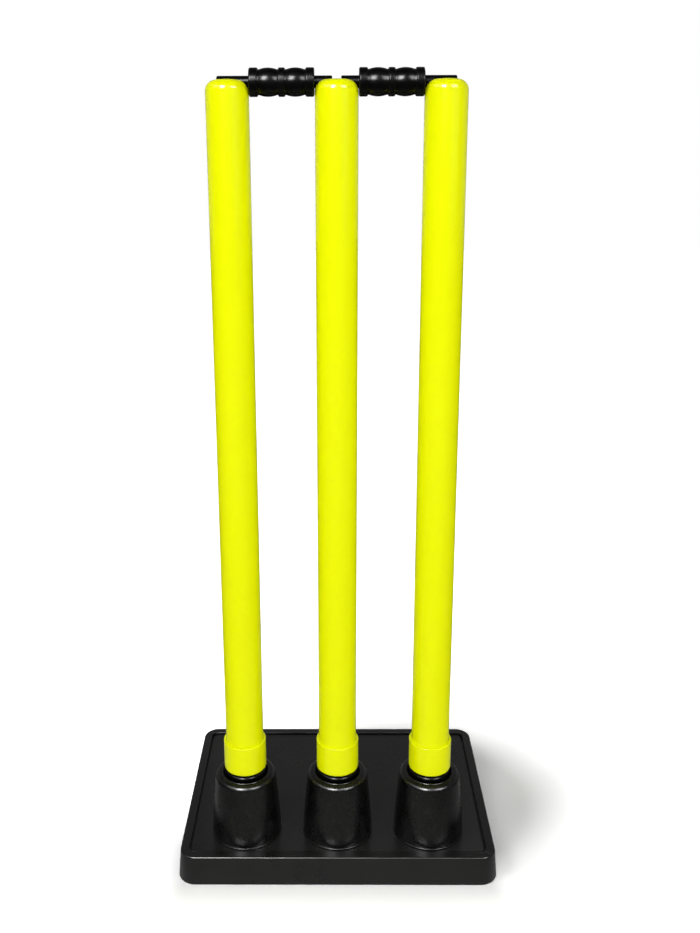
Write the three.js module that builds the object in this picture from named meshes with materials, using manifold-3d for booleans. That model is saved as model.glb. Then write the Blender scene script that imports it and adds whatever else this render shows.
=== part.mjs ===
// Cricket stumps on a weighted base: three plastic stumps in rubber sockets, with two bails.
//
// Millimetres, +Z up. The origin is the middle of the base's underside. X runs along the row
// of stumps and Y from the front of the base to its back.
import * as THREE from 'three';
import { mergeVertices } from 'three/addons/utils/BufferGeometryUtils.js';
import Module from 'manifold-3d';

const wasm = await Module();
wasm.setup();

// Wicket
const wicketWidth = 228.6; // over the outer sides of the outer stumps
const stumpDiameter = 38.1;
const stumpSetback = 52; // from the front of the base to the middle of the stumps

// Clearances
const seatGap = 0.3; // between a piece and what it rests on or fits in
const bailGap = 0.35; // round a spigot in its groove
const flangeGap = 1; // round a socket's flange, under the cover
const holeGap = 0.8; // round a well, in the weight
const overrun = 2; // how far a cutting shape runs past the piece it cuts
const ribBite = 0.5; // how far a rib reaches into the wall that carries it

// Base cover
const baseSideMargin = 48.7; // beyond the outer stumps
const baseDepth = 232;
const baseHeight = 30.5;
const baseCornerRadius = 24;
const leastCornerRadius = 2;
const wallDraftDegrees = 4.5;
const wallThickness = 3;
const lowerEdgeRound = 0.8;
const rimWidth = 8.8;
const rimOuterRound = 1.4;
const rimInnerRound = 0.5;
const deckDrop = 1.9; // of the deck below the rim
const deckThickness = 4.6;
const deckEdgeRound = 0.6;
const grooveWidth = 1.8; // between rim and deck
const grooveDepth = 2.4; // below the deck

// Ribs and bosses under the cover
const ribThickness = 2.2;
const gussetDepth = 5;
const bossWall = 2.7;
const pilotSpare = 2; // the pilot hole beyond the screw's tip

// Base plate and weight
const plateThickness = 3.5;
const wellWall = 3.1;
const wellSeatThickness = 3.3;
const weightThickness = 7;
const weightWeb = 6; // least width of weight outside a screw's hole

// Screws
const screwShankRadius = 2;
const screwLength = 14; // under the head
const screwTipLength = 2.5;
const screwHeadRadius = 4.1;
const screwHeadHeight = 2.6;
const screwHeadRound = 0.9;
const screwHeadSink = 0.6; // below the underside of the plate

// Sockets
const socketHeight = 68.4; // above the deck
const socketRimWidth = 8.1; // from the mouth to the shoulder's outside
const socketLean = 4.9; // of the wall, from the deck to the shoulder
const socketTaperPower = 1.3; // the wall leans in faster as it rises
const shoulderRound = 5;
const mouthGap = 2.1; // round the foot's ring
const mouthDepth = 2.2; // from the crest down to the funnel
const lipRound = 0.7; // of the bead round the mouth
const lipRise = 0.5; // of that bead above the crest
const funnelDepth = 5.5;
const boreDepth = 55; // below the socket's crest
const beadRadius = 0.7;
const flangeWidth = 6;
const flangeThickness = 4;
const skirtWidth = 2;
const skirtWall = 14;
const recessDraftDegrees = 3;
const boreFloorThickness = 6;

// Feet
const footNeckInset = 0.35; // inside the tube's surface
const footRingReach = 2.2; // of the ring beyond the neck
const footRingRound = 2.9;
const footRingRise = 1.85; // of the ring's middle above the socket's crest
const spigotStep = 1.3; // from the neck in to the spigot
const spigotTaperDegrees = 2;
const spigotTipRound = 2;
const plugLength = 40; // inside the tube
const plugWall = 2.6;
const plugLeadIn = 1.2;

// Stump tubes and collars
const tubeLength = 678;
const tubeWall = 3;
const tubeEndThickness = 5.8; // under the bail's groove
const tubeEndFillet = 3;
const domeCornerRadius = 8.8;
const domeCrownRadius = 75;
const bailGrooveDepth = 9.2;
const collarClearance = 6.6; // from the socket's crest up to the collar
const collarWall = 2.15;
const collarHeight = 31.6;
const collarLowerRoundShare = 0.9; // of the collar's wall
const collarLipRoundShare = 0.4;

// Bails
const bailSpigotRadius = 5.45;
const bailSpigotRound = 1.1;
const longSpigotLength = 28;
const shortSpigotLength = 15.5;
const bailRingRadius = 12.2;
const bailRingRound = 1.3;
const endRingWidth = 7.6;
const middleRingWidth = 6;
const ballDrop = 0.1; // of a ball's middle below the rings
const ballEndDrop = 1.9;

// Facets
const roundSteps = 24;
const footSteps = 20;
const bailSteps = 20;
const screwSteps = 8;
const holeSteps = 10;
const cornerSteps = 5;
const filletSteps = 2;
const wallSteps = 3;
const arcSteps = 4;
const mergeTolerance = 1e-5;

// Places and sizes that follow
const stumpPitch = (wicketWidth - stumpDiameter) / 2;
const stumpRadius = stumpDiameter / 2;
const stumpRowY = stumpSetback - baseDepth / 2;
const stumpSides = { left: -1, middle: 0, right: 1 };

const baseWidth = wicketWidth + 2 * baseSideMargin;
const draftSlope = Math.tan(THREE.MathUtils.degToRad(wallDraftDegrees));
const deckTop = baseHeight - deckDrop;
const deckUnderside = deckTop - deckThickness;
const weightTop = plateThickness + weightThickness;

const screwSeat = screwHeadSink + screwHeadHeight;
const pilotRadius = screwShankRadius + seatGap;
const headHoleRadius = screwHeadRadius + seatGap;
const wellRadius = headHoleRadius + wellWall;
const wellHeight = screwSeat + wellSeatThickness;
const weightHoleRadius = wellRadius + holeGap;
const weightInset = wallThickness + gussetDepth + seatGap;
const screwInset = weightInset + weightWeb + weightHoleRadius;

const footNeckRadius = stumpRadius - footNeckInset;
const footRingRadius = footNeckRadius + footRingReach;
const mouthRadius = footRingRadius + mouthGap;
const shoulderRadius = mouthRadius + socketRimWidth;
const socketFootRadius = shoulderRadius + socketLean;
const skirtRadius = socketFootRadius + skirtWidth;
const flangeRadius = socketFootRadius + flangeWidth;
const socketBottom = weightTop + seatGap;
const socketTop = deckTop + socketHeight;
const boreFloor = socketTop - boreDepth;
const footRingZ = socketTop + footRingRise;
const spigotTop = footRingZ - footRingRound;
const spigotSlope = Math.tan(THREE.MathUtils.degToRad(spigotTaperDegrees));

const collarBottom = socketTop + collarClearance;
const tubeTop = collarBottom + tubeLength;
const bailAxisZ = tubeTop - bailGrooveDepth + bailGap + bailSpigotRadius;
const barrelLength = stumpPitch - stumpDiameter - 2 * seatGap;

// Solids

// A closed mesh with shared corners merged, as a solid that can be joined and cut.
function toSolid(geometry) {
  const bare = geometry.clone();
  bare.deleteAttribute('normal');
  bare.deleteAttribute('uv');
  const merged = mergeVertices(bare, mergeTolerance);
  const corners = merged.index.array;
  const faces = [];
  for (let i = 0; i < corners.length; i += 3) {
    const [a, b, c] = [corners[i], corners[i + 1], corners[i + 2]];
    if (a !== b && b !== c && c !== a) faces.push(a, b, c);
  }
  return new wasm.Manifold(new wasm.Mesh({
    numProp: 3,
    vertProperties: new Float32Array(merged.attributes.position.array),
    triVerts: new Uint32Array(faces),
  }));
}

function toGeometry(solid) {
  const mesh = solid.getMesh();
  const geometry = new THREE.BufferGeometry();
  geometry.setAttribute('position', new THREE.BufferAttribute(mesh.vertProperties, mesh.numProp));
  geometry.setIndex(new THREE.BufferAttribute(mesh.triVerts, 1));
  geometry.computeVertexNormals();
  return geometry;
}

const joinAll = (solids) => solids.reduce((whole, solid) => whole.add(solid));

// Points on a round stretch of an outline, from one angle to another. With two radii it is
// part of an ellipse.
function arc(centreR, centreZ, radiusR, radiusZ, fromDegrees, toDegrees, steps = filletSteps) {
  return Array.from({ length: steps + 1 }, (_, i) => {
    const angle = THREE.MathUtils.degToRad(fromDegrees + ((toDegrees - fromDegrees) * i) / steps);
    return [centreR + radiusR * Math.cos(angle), centreZ + radiusZ * Math.sin(angle)];
  });
}

// A solid turned about Z from [radius, height] points that run up its outside.
function revolve(outline, steps = roundSteps) {
  const geometry = new THREE.LatheGeometry(outline.map(([r, z]) => new THREE.Vector2(r, z)), steps);
  geometry.rotateX(Math.PI / 2);
  return toSolid(geometry);
}

function cylinder(radius, bottom, top, steps = roundSteps) {
  return revolve([[0, bottom], [radius, bottom], [radius, top], [0, top]], steps);
}

function box(fromX, toX, fromY, toY, fromZ, toZ) {
  const geometry = new THREE.BoxGeometry(toX - fromX, toY - fromY, toZ - fromZ);
  geometry.translate((fromX + toX) / 2, (fromY + toY) / 2, (fromZ + toZ) / 2);
  return toSolid(geometry);
}

// The base's outline, drawn in by an inset, at a height.
function baseRing([inset, z]) {
  const radius = Math.max(baseCornerRadius - inset, leastCornerRadius);
  const centreX = baseWidth / 2 - inset - radius;
  const centreY = baseDepth / 2 - inset - radius;
  const ring = [];
  for (let quarter = 0; quarter < 4; quarter += 1) {
    const sideX = quarter === 0 || quarter === 3 ? 1 : -1;
    const sideY = quarter < 2 ? 1 : -1;
    for (let i = 0; i <= cornerSteps; i += 1) {
      const angle = ((quarter + i / cornerSteps) * Math.PI) / 2;
      ring.push([
        sideX * centreX + radius * Math.cos(angle),
        sideY * centreY + radius * Math.sin(angle),
        z,
      ]);
    }
  }
  return ring;
}

// A solid whose skin follows the base's outline through [inset, height] steps. The first
// ring is closed facing down and the last facing up.
function loft(steps) {
  const rings = steps.map(baseRing);
  const count = rings[0].length;
  const faces = [];
  for (let level = 0; level + 1 < rings.length; level += 1) {
    for (let i = 0; i < count; i += 1) {
      const a = level * count + i;
      const b = level * count + ((i + 1) % count);
      faces.push(a, b, b + count, a, b + count, a + count);
    }
  }
  const last = (rings.length - 1) * count;
  for (let i = 1; i + 1 < count; i += 1) {
    faces.push(0, i + 1, i, last, last + i, last + i + 1);
  }
  const geometry = new THREE.BufferGeometry();
  geometry.setAttribute('position', new THREE.Float32BufferAttribute(rings.flat(2), 3));
  geometry.setIndex(faces);
  return toSolid(geometry);
}

const copiesAt = (solid, places) => places.map(([x, y]) => solid.translate([x, y, 0]));

// Base

const stumpPlaces = Object.values(stumpSides).map((side) => [side * stumpPitch, stumpRowY]);

// The screws stand in two rows, at the same four columns: near the corners and between the
// sockets.
const cornerScrewX = baseWidth / 2 - screwInset;
const screwColumns = [-cornerScrewX, -stumpPitch / 2, stumpPitch / 2, cornerScrewX];
const screwRows = { front: screwInset - baseDepth / 2, back: baseDepth / 2 - screwInset };
const screwPlaces = Object.values(screwRows).flatMap((y) => screwColumns.map((x) => [x, y]));

// Ribs cross the deck from wall to wall and tie the bosses together. Where they meet a wall,
// a gusset runs down it to the plate.
function coverRibs() {
  const reachX = baseWidth / 2 - wallThickness + ribBite;
  const reachY = baseDepth / 2 - wallThickness + ribBite;
  const gussetX = baseWidth / 2 - wallThickness - gussetDepth;
  const gussetY = baseDepth / 2 - wallThickness - gussetDepth;
  const top = deckUnderside + ribBite;
  const half = ribThickness / 2;
  const ribs = [];
  for (const x of [...screwColumns, 0]) {
    ribs.push(box(x - half, x + half, -reachY, reachY, socketBottom, top));
    ribs.push(box(x - half, x + half, -reachY, -gussetY, plateThickness, top));
    ribs.push(box(x - half, x + half, gussetY, reachY, plateThickness, top));
  }
  const bayBack = stumpRowY + flangeRadius + flangeGap;
  for (const y of [screwRows.front, bayBack, (bayBack + screwRows.back) / 2, screwRows.back]) {
    ribs.push(box(-reachX, reachX, y - half, y + half, socketBottom, top));
    ribs.push(box(-reachX, -gussetX, y - half, y + half, plateThickness, top));
    ribs.push(box(gussetX, reachX, y - half, y + half, plateThickness, top));
  }
  const bay = cylinder(flangeRadius + flangeGap, 0, deckUnderside);
  return joinAll(ribs).subtract(joinAll(copiesAt(bay, stumpPlaces)));
}

// The moulded cover: drafted walls, a rim, a groove all round and the deck inside it, with
// the sockets' holes, and ribs and bosses underneath.
function makeCover() {
  const atHeight = (z, inset = 0) => [z * draftSlope + inset, z];
  const rimShoulder = baseHeight - rimOuterRound;
  const rimEdge = rimShoulder * draftSlope;
  const grooveOuter = baseHeight * draftSlope + rimWidth;
  const grooveInner = grooveOuter + grooveWidth;
  const grooveBottom = deckTop - grooveDepth;
  const outerRound = arc(rimEdge + rimOuterRound, rimShoulder, -rimOuterRound, rimOuterRound, 0, 90);
  const shell = loft([
    atHeight(deckUnderside, wallThickness),
    [wallThickness, 0],
    [lowerEdgeRound, 0],
    atHeight(lowerEdgeRound),
    ...outerRound,
    [grooveOuter - rimInnerRound, baseHeight],
    [grooveOuter, baseHeight - rimInnerRound],
    [grooveOuter, grooveBottom],
    [grooveInner, grooveBottom],
    [grooveInner, deckTop - deckEdgeRound],
    [grooveInner + deckEdgeRound, deckTop],
  ]);
  const hole = cylinder(socketFootRadius + seatGap, 0, baseHeight + overrun);
  const boss = cylinder(pilotRadius + bossWall, wellHeight, deckUnderside + ribBite, holeSteps);
  const pilot = cylinder(pilotRadius, 0, screwSeat + screwLength + pilotSpare, screwSteps);
  return shell
    .add(coverRibs())
    .add(joinAll(copiesAt(boss, screwPlaces)))
    .subtract(joinAll(copiesAt(pilot, screwPlaces)))
    .subtract(joinAll(copiesAt(hole, stumpPlaces)));
}

// The flat plate that closes the base, with a well round each screw's head.
function makePlate() {
  const edge = wallThickness + seatGap;
  const plate = loft([[edge, 0], [edge + plateThickness * draftSlope, plateThickness]]);
  const well = cylinder(wellRadius, 0, wellHeight, holeSteps);
  const headHole = cylinder(headHoleRadius, -overrun, screwSeat, screwSteps);
  const shankHole = cylinder(pilotRadius, 0, wellHeight + overrun, screwSteps);
  return plate
    .add(joinAll(copiesAt(well, screwPlaces)))
    .subtract(joinAll(copiesAt(headHole, screwPlaces)))
    .subtract(joinAll(copiesAt(shankHole, screwPlaces)));
}

// The weight that keeps the set standing: a slab with a hole round each well.
function makeWeight() {
  const slab = loft([[weightInset, plateThickness], [weightInset, weightTop]]);
  const hole = cylinder(weightHoleRadius, 0, weightTop + overrun, holeSteps);
  return slab.subtract(joinAll(copiesAt(hole, screwPlaces)));
}

function makeScrew() {
  const headBottom = screwSeat - screwHeadHeight;
  const headFlat = screwHeadRadius - screwHeadRound;
  const tip = screwSeat + screwLength;
  return revolve([
    [0, headBottom],
    [headFlat, headBottom],
    [screwHeadRadius, headBottom + screwHeadRound],
    [screwHeadRadius, screwSeat],
    [screwShankRadius, screwSeat],
    [screwShankRadius, tip - screwTipLength],
    [0, tip],
  ], screwSteps);
}

// Sockets

const spigotRadiusAt = (z) => footNeckRadius - spigotStep - (spigotTop - z) * spigotSlope;

// A rubber cone with a round shoulder, and a bead round the mouth of the bore that takes the
// stump's foot. Its flange lies under the deck, its skirt stands on the weight, and a recess
// below thins the rubber.
function makeSocket() {
  const wallHeight = socketHeight - shoulderRound;
  const wallPoint = (share) => [
    socketFootRadius - socketLean * share ** socketTaperPower,
    deckTop + wallHeight * share,
  ];
  const wall = Array.from({ length: wallSteps }, (_, i) => wallPoint((i + 1) / wallSteps));
  const crestRadius = shoulderRadius - shoulderRound;
  const lipCentre = [mouthRadius + lipRound, socketTop + lipRise - lipRound];
  const lipFoot = THREE.MathUtils.radToDeg(Math.asin((lipRound - lipRise) / lipRound));
  const boreTop = socketTop - mouthDepth - funnelDepth;
  const recessTop = boreFloor - boreFloorThickness;
  const recessSlope = Math.tan(THREE.MathUtils.degToRad(recessDraftDegrees));
  const recessRadius = skirtRadius - skirtWall;
  const flangeBottom = deckUnderside - flangeThickness;
  return revolve([
    [0, recessTop],
    [recessRadius - (recessTop - socketBottom) * recessSlope, recessTop],
    [recessRadius, socketBottom],
    [skirtRadius, socketBottom],
    [skirtRadius, flangeBottom],
    [flangeRadius, flangeBottom],
    [flangeRadius, deckUnderside],
    [socketFootRadius, deckUnderside],
    ...arc(socketFootRadius, deckTop + seatGap + beadRadius, beadRadius, beadRadius, -90, 90),
    ...wall,
    ...arc(crestRadius, socketTop - shoulderRound, shoulderRound, shoulderRound, 0, 90, wallSteps).slice(1),
    ...arc(...lipCentre, lipRound, lipRound, lipFoot, 180),
    [mouthRadius, socketTop - mouthDepth],
    [spigotRadiusAt(boreTop) + seatGap, boreTop],
    [spigotRadiusAt(boreFloor) + seatGap, boreFloor],
    [0, boreFloor],
  ]);
}

// Stumps

// The black foot: a tapered spigot in the socket, a round ring and a neck under the collar,
// and a hollow plug up the tube.
function makeFoot() {
  const tip = boreFloor + seatGap;
  const tipRadius = spigotRadiusAt(tip) - spigotTipRound;
  const plugRadius = stumpRadius - tubeWall - seatGap;
  const plugTop = collarBottom + plugLength;
  const ringCentre = footRingRadius - footRingRound;
  const neckAngle = THREE.MathUtils.radToDeg(Math.acos((footNeckRadius - ringCentre) / footRingRound));
  return revolve([
    [0, tip],
    ...arc(tipRadius, tip + spigotTipRound, spigotTipRound, spigotTipRound, -90, 0),
    [spigotRadiusAt(spigotTop), spigotTop],
    ...arc(ringCentre, footRingZ, footRingRound, footRingRound, -90, neckAngle, arcSteps),
    [footNeckRadius, collarBottom],
    [plugRadius, collarBottom],
    [plugRadius, plugTop - plugLeadIn],
    [plugRadius - plugLeadIn, plugTop],
    [plugRadius - plugWall, plugTop],
    [plugRadius - plugWall, collarBottom + plugWall],
    [0, collarBottom + plugWall],
  ], footSteps);
}

function makeCollar() {
  const bore = stumpRadius + seatGap;
  const radius = bore + collarWall;
  const top = collarBottom + collarHeight;
  const lower = collarWall * collarLowerRoundShare;
  const lip = collarWall * collarLipRoundShare;
  return revolve([
    [bore, top],
    [bore, collarBottom],
    ...arc(radius - lower, collarBottom + lower, lower, lower, -90, 0, wallSteps),
    ...arc(radius - lip, top - lip, lip, lip, 0, 90),
    [bore, top],
  ]);
}

// The groove that a bail's spigots lie in runs along X over the whole top of a stump.
function bailGroove() {
  const radius = bailSpigotRadius + bailGap;
  const shape = new THREE.Shape();
  shape.absarc(0, bailAxisZ, radius, Math.PI, 0, false);
  shape.lineTo(radius, tubeTop + overrun);
  shape.lineTo(-radius, tubeTop + overrun);
  const depth = 2 * (stumpRadius + overrun);
  const curveSegments = bailSteps / 2;
  const geometry = new THREE.ExtrudeGeometry(shape, { depth, bevelEnabled: false, curveSegments });
  geometry.translate(0, 0, -depth / 2);
  const alongX = new THREE.Matrix4().makeBasis(
    new THREE.Vector3(0, 1, 0),
    new THREE.Vector3(0, 0, 1),
    new THREE.Vector3(1, 0, 0),
  );
  geometry.applyMatrix4(alongX);
  return toSolid(geometry);
}

// The tube is hollow below and closed above by a crowned dome. The dome's corner is tangent
// to its side and to its crown.
function makeTube() {
  const cornerR = stumpRadius - domeCornerRadius;
  const crownReach = domeCrownRadius - domeCornerRadius;
  const crownTilt = THREE.MathUtils.radToDeg(Math.asin(cornerR / crownReach));
  const cornerZ = tubeTop - domeCrownRadius + Math.sqrt(crownReach ** 2 - cornerR ** 2);
  const bore = stumpRadius - tubeWall;
  const boreEnd = tubeTop - bailGrooveDepth - tubeEndThickness;
  const blank = revolve([
    [0, boreEnd],
    [bore - tubeEndFillet, boreEnd],
    [bore, boreEnd - tubeEndFillet],
    [bore, collarBottom],
    [stumpRadius, collarBottom],
    ...arc(cornerR, cornerZ, domeCornerRadius, domeCornerRadius, 0, 90 - crownTilt, arcSteps),
    [0, tubeTop],
  ]);
  return blank.subtract(bailGroove());
}

// Bails

// A bail is turned about X: a long spigot, then ring, ball, ring, ball, ring, and a short
// spigot. The barrel's middle is at the origin.
function makeBail() {
  const ballLength = (barrelLength - 2 * endRingWidth - middleRingWidth) / 2;
  const ballEndRadius = bailRingRadius - ballEndDrop;
  const outline = [];
  const addSpigotEnd = (x, direction) => {
    const edge = bailSpigotRadius - bailSpigotRound;
    const end = [[0, x], [edge, x], [bailSpigotRadius, x + direction * bailSpigotRound]];
    outline.push(...(direction > 0 ? end : end.reverse()));
  };
  const addRing = (x, width, lowRadius, highRadius) => {
    const edge = bailRingRadius - bailRingRound;
    outline.push([lowRadius, x], [edge, x], [bailRingRadius, x + bailRingRound]);
    outline.push([bailRingRadius, x + width - bailRingRound], [edge, x + width], [highRadius, x + width]);
  };
  const addBall = (x) => {
    for (let i = 1; i < arcSteps; i += 1) {
      const share = i / arcSteps;
      const swell = 1 - (2 * share - 1) ** 2;
      outline.push([ballEndRadius + (ballEndDrop - ballDrop) * swell, x + share * ballLength]);
    }
  };
  let x = -barrelLength / 2;
  addSpigotEnd(x - longSpigotLength, 1);
  addRing(x, endRingWidth, bailSpigotRadius, ballEndRadius);
  x += endRingWidth;
  addBall(x);
  x += ballLength;
  addRing(x, middleRingWidth, ballEndRadius, ballEndRadius);
  x += middleRingWidth;
  addBall(x);
  x += ballLength;
  addRing(x, endRingWidth, ballEndRadius, bailSpigotRadius);
  addSpigotEnd(x + endRingWidth + shortSpigotLength, -1);
  return revolve(outline, bailSteps);
}

// Materials

const plastic = (color, roughness) => new THREE.MeshStandardMaterial({ color, roughness, metalness: 0 });
const yellowPlastic = plastic(0xe4f400, 0.35);
const blackPlastic = plastic(0x0b0b0b, 0.3);
const basePlastic = plastic(0x1d1d1e, 0.5);
const blackRubber = plastic(0x080808, 0.45);
const castIron = new THREE.MeshStandardMaterial({ color: 0x4a4a48, roughness: 0.7, metalness: 0.8 });
const screwSteel = new THREE.MeshStandardMaterial({ color: 0xb4b6b8, roughness: 0.35, metalness: 0.9 });

// Assembly

function piece(name, geometry, material, x = 0, y = 0, z = 0) {
  const mesh = new THREE.Mesh(geometry, material);
  mesh.name = name;
  mesh.position.set(x, y, z);
  return mesh;
}

function baseGroup() {
  const group = new THREE.Group();
  group.add(piece('base_cover', toGeometry(makeCover()), basePlastic));
  group.add(piece('base_plate', toGeometry(makePlate()), basePlastic));
  group.add(piece('base_weight', toGeometry(makeWeight()), castIron));
  const screw = toGeometry(makeScrew());
  for (const [row, y] of Object.entries(screwRows)) {
    screwColumns.forEach((x, i) => group.add(piece(`${row}_screw_${i + 1}`, screw, screwSteel, x, y)));
  }
  return group;
}

function stumpGroup() {
  const group = new THREE.Group();
  const socket = toGeometry(makeSocket());
  const foot = toGeometry(makeFoot());
  const tube = toGeometry(makeTube());
  const collar = toGeometry(makeCollar());
  for (const [name, side] of Object.entries(stumpSides)) {
    const place = [side * stumpPitch, stumpRowY];
    group.add(piece(`${name}_socket`, socket, blackRubber, ...place));
    group.add(piece(`${name}_foot`, foot, blackPlastic, ...place));
    group.add(piece(`${name}_tube`, tube, yellowPlastic, ...place));
    group.add(piece(`${name}_collar`, collar, yellowPlastic, ...place));
  }
  return group;
}

// Each bail's long spigot lies on its outer stump, and its short one on the middle stump.
function bailGroup() {
  const group = new THREE.Group();
  const bail = toGeometry(makeBail());
  bail.rotateY(Math.PI / 2);
  for (const name of ['left', 'right']) {
    const side = stumpSides[name];
    const mesh = piece(`${name}_bail`, bail, blackPlastic, (side * stumpPitch) / 2, stumpRowY, bailAxisZ);
    mesh.rotation.z = side > 0 ? Math.PI : 0;
    group.add(mesh);
  }
  return group;
}

const cricketStumps = new THREE.Group();
cricketStumps.add(baseGroup(), stumpGroup(), bailGroup());

export default cricketStumps;
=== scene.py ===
"""Cricket stumps on a weighted base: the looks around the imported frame.

Metres, +Z up, in the frame's own axes. Sizes written in millimetres are turned into metres by
mm().
"""

import math

import bpy
import numpy as np
from mathutils import Matrix, Vector


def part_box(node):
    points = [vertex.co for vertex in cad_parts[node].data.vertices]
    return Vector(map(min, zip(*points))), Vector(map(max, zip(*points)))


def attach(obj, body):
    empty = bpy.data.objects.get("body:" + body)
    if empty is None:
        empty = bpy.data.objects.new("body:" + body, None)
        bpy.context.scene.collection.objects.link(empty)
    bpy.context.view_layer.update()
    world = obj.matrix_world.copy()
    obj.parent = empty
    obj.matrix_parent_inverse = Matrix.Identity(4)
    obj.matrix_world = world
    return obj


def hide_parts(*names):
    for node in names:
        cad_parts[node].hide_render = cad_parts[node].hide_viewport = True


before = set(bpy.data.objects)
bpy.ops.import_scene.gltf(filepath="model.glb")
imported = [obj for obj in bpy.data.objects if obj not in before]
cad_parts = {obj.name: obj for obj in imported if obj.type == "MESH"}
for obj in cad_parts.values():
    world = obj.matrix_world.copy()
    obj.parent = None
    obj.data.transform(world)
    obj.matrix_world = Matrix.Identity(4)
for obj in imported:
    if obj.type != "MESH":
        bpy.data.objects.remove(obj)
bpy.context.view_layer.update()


def mm(*values):
    """Millimetres as metres: one value, or a tuple of them."""
    scaled = tuple(value / 1000 for value in values)
    return scaled[0] if len(scaled) == 1 else scaled


# Places from the frame

SIDES = ("left", "middle", "right")
BODY_OF_STUMP = {"left": "left_stump", "middle": "base", "right": "right_stump"}
SCREWS = [f"{row}_screw_{number}" for row in ("front", "back") for number in range(1, 5)]
tube_low, tube_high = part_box("middle_tube")
collar_low, collar_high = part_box("middle_collar")
foot_low, foot_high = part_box("middle_foot")
socket_low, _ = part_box("middle_socket")
cover_low, cover_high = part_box("base_cover")

# Heights that several pieces share

DECK_TOP = mm(28.6)
DECK_UNDERSIDE = mm(24)
SOCKET_HEIGHT = mm(68.4)
socket_crest = DECK_TOP + SOCKET_HEIGHT

# Facets: steps round a turned piece, a corner of the base, and the roundings of an outline

ROUND_STEPS = 128
BAIL_STEPS = 96
SCREW_STEPS = 48
CORNER_STEPS = 24
ARC_STEPS = 6
HIDDEN_ARC_STEPS = 3
SMALL_ARC_STEPS = 4
WIDE_ARC_STEPS = 8
LARGE_ARC_STEPS = 10
FOOT_RING_STEPS = 20
SUPPORTED_LENGTH = mm(2)
SUPPORT_REACH = mm(0.3)
POLE_RADIUS = 1e-7
SHARP_DEGREES = 35


# Outlines


def arc(centre, radius, from_degrees, to_degrees, steps=ARC_STEPS):
    """Points on a round stretch of an outline."""
    points = []
    for i in range(steps + 1):
        angle = math.radians(from_degrees + (to_degrees - from_degrees) * i / steps)
        points.append((centre[0] + radius * math.cos(angle), centre[1] + radius * math.sin(angle)))
    return points


def round_corner(spot, radius, from_degrees, to_degrees, steps=ARC_STEPS):
    """Points on the quarter circle that rounds a square corner of an outline."""
    angles = (math.radians(from_degrees), math.radians(to_degrees))
    across = round(sum(math.cos(angle) for angle in angles))
    up = round(sum(math.sin(angle) for angle in angles))
    centre = (spot[0] - across * radius, spot[1] - up * radius)
    return arc(centre, radius, from_degrees, to_degrees, steps)


def supported(outline):
    """The outline with a point near each end of its long straight stretches.

    Smooth shading blends the roundings into the faces beside them, so those faces are narrow.
    """
    points = [outline[0]]
    for start, end in zip(outline, outline[1:]):
        length = math.dist(start, end)
        if length > SUPPORTED_LENGTH and min(start[0], end[0]) > 0:
            for share in (SUPPORT_REACH / length, 1 - SUPPORT_REACH / length):
                points.append(tuple(a + (b - a) * share for a, b in zip(start, end)))
        points.append(end)
    return points


def circle(radius, height, steps):
    """A ring of points about Z, or one point where the radius is nothing."""
    if radius < POLE_RADIUS:
        return [(0, 0, height)]
    angles = [i * 2 * math.pi / steps for i in range(steps)]
    return [(radius * math.cos(angle), radius * math.sin(angle), height) for angle in angles]


# Meshes


def finish_shading(mesh):
    mesh.shade_smooth()
    mesh.set_sharp_from_angle(angle=math.radians(SHARP_DEGREES))


def add_object(name, vertices, faces):
    mesh = bpy.data.meshes.new(name)
    mesh.from_pydata([tuple(v) for v in vertices], [], faces)
    mesh.validate()
    finish_shading(mesh)
    piece = bpy.data.objects.new(name, mesh)
    bpy.context.scene.collection.objects.link(piece)
    return piece


def skin(name, rings, closed=False):
    """A mesh through rings of points, each counter-clockwise from above where they run upward.

    A ring of one point is a pole. Longer end rings are capped, unless the rings close on
    themselves.
    """
    vertices, starts = [], []
    for ring in rings:
        starts.append(len(vertices))
        vertices.extend(ring)
    faces = []
    count = max(len(ring) for ring in rings)
    pairs = list(zip(range(len(rings) - 1), range(1, len(rings))))
    if closed:
        pairs.append((len(rings) - 1, 0))
    for low, high in pairs:
        a, b = starts[low], starts[high]
        for i in range(count):
            j = (i + 1) % count
            if len(rings[low]) == 1:
                faces.append((a, b + j, b + i))
            elif len(rings[high]) == 1:
                faces.append((a + i, a + j, b))
            else:
                faces.append((a + i, a + j, b + j, b + i))
    if not closed and len(rings[0]) > 1:
        faces.append(tuple(range(count - 1, -1, -1)))
    if not closed and len(rings[-1]) > 1:
        faces.append(tuple(starts[-1] + i for i in range(count)))
    return add_object(name, vertices, faces)


def lathe(name, outline, steps=ROUND_STEPS, closed=False):
    """A solid turned about Z from (radius, height) points in metres that run up its outside."""
    return skin(name, [circle(r, z, steps) for r, z in supported(outline)], closed)


def cylinder(name, radius, low, high, steps=ROUND_STEPS):
    return lathe(name, [(0, low), (radius, low), (radius, high), (0, high)], steps)


def place(piece, matrix):
    """Moves the mesh itself, so that the object's own origin stays at the frame's."""
    piece.data.transform(matrix)
    return piece


def set_on_axis(piece, node):
    """Moves a piece that was built about Z onto a node's upright axis."""
    low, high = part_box(node)
    centre = (low + high) / 2
    return place(piece, Matrix.Translation((centre.x, centre.y, 0)))


def cut(piece, tools, operation="DIFFERENCE"):
    """Cuts the tools from a piece, or joins them with it, and deletes them."""
    for tool in tools:
        modifier = piece.modifiers.new("cut", "BOOLEAN")
        modifier.operation = operation
        modifier.solver = "EXACT"
        modifier.object = tool
    evaluated = piece.evaluated_get(bpy.context.evaluated_depsgraph_get())
    mesh = bpy.data.meshes.new_from_object(evaluated)
    piece.modifiers.clear()
    piece.data = mesh
    for tool in tools:
        bpy.data.objects.remove(tool)


def dress(piece, material, body, node):
    """Gives a piece its material and its body, and hides the CAD node that it stands for."""
    piece.data.materials.clear()
    piece.data.materials.append(material)
    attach(piece, body)
    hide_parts(node)


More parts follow.
